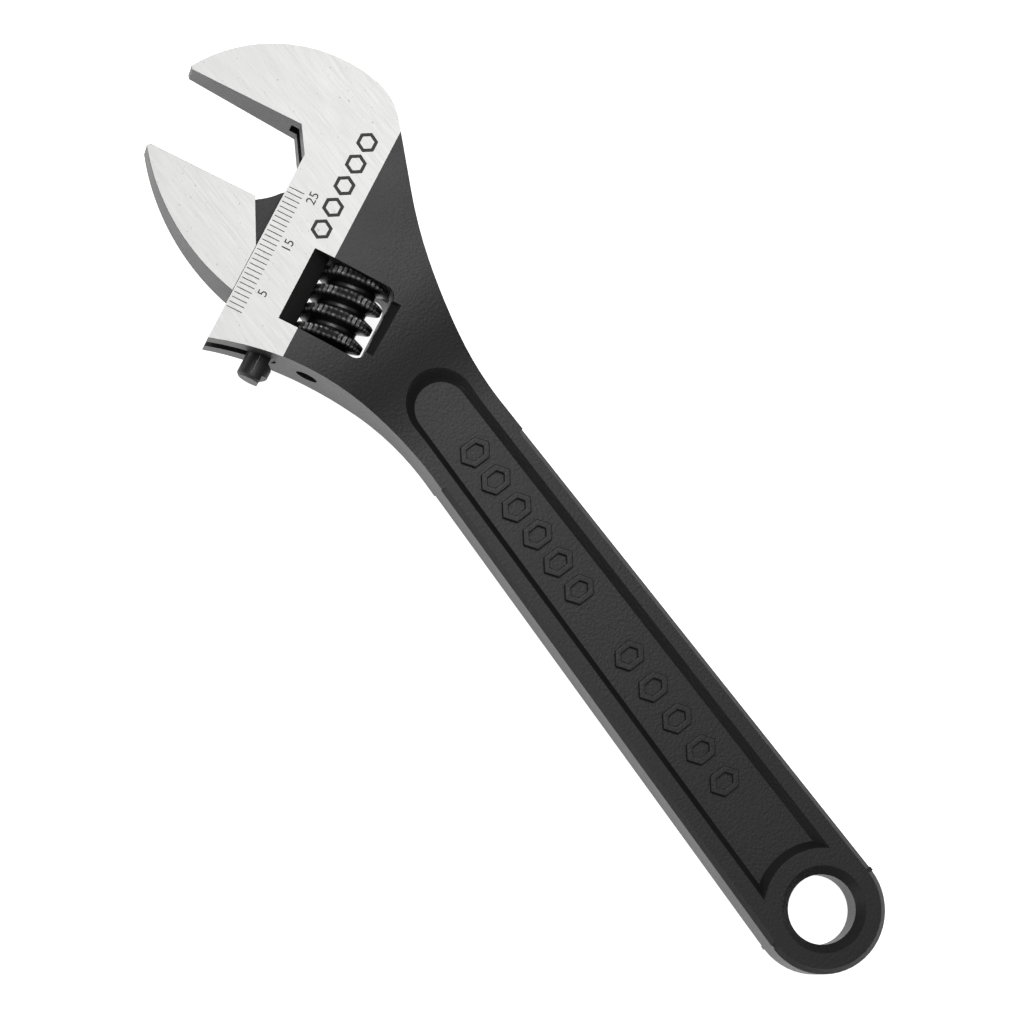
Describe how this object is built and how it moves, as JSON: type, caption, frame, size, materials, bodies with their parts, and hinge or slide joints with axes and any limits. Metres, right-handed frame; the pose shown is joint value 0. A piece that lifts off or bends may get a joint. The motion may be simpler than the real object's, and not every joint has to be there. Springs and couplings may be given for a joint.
{
  "type": "adjustable wrench",
  "caption": "Open-ended adjustable wrench with a sliding lower jaw driven by a knurled worm, a sunk panel in the handle and a hang hole.",
  "frame": {"origin": "centre of the hang hole at the middle of the handle's thickness", "axes": "+X along the handle towards the jaws, +Y towards the sliding jaw's side, +Z out of the marked face"},
  "size_m": [0.2044, 0.054, 0.0156],
  "materials": {
    "forging": "black oxide over a forged skin, with ground bright faces on the jaws",
    "ground_steel": "satin ground",
    "worm_black": "oiled black oxide",
    "pin_steel": "darkened steel",
    "spring_steel": "drawn wire"
  },
  "bodies": {
    "frame": {"body": "forging", "worm_pin": "pin_steel", "worm_spring": "spring_steel"},
    "jaw": {"movable_jaw": "ground_steel"},
    "knurl": {"worm": "worm_black"}
  },
  "joints": [
    {"name": "jaw_slide", "type": "slide", "parent": "frame", "child": "jaw", "axis": [-0.4305, 0.9026, 0], "range_m": [-0.01595, 0.009]},
    {"name": "worm_turn", "type": "hinge", "parent": "frame", "child": "knurl", "pos_m": [0.14019, 0.00421, 0], "axis": [-0.4305, 0.9026, 0], "range_deg": [-820, 1445]}
  ],
  "couplings": [
    {"joint": "worm_turn", "follows": "jaw_slide", "rad_per_m": -1570.8}
  ]
}
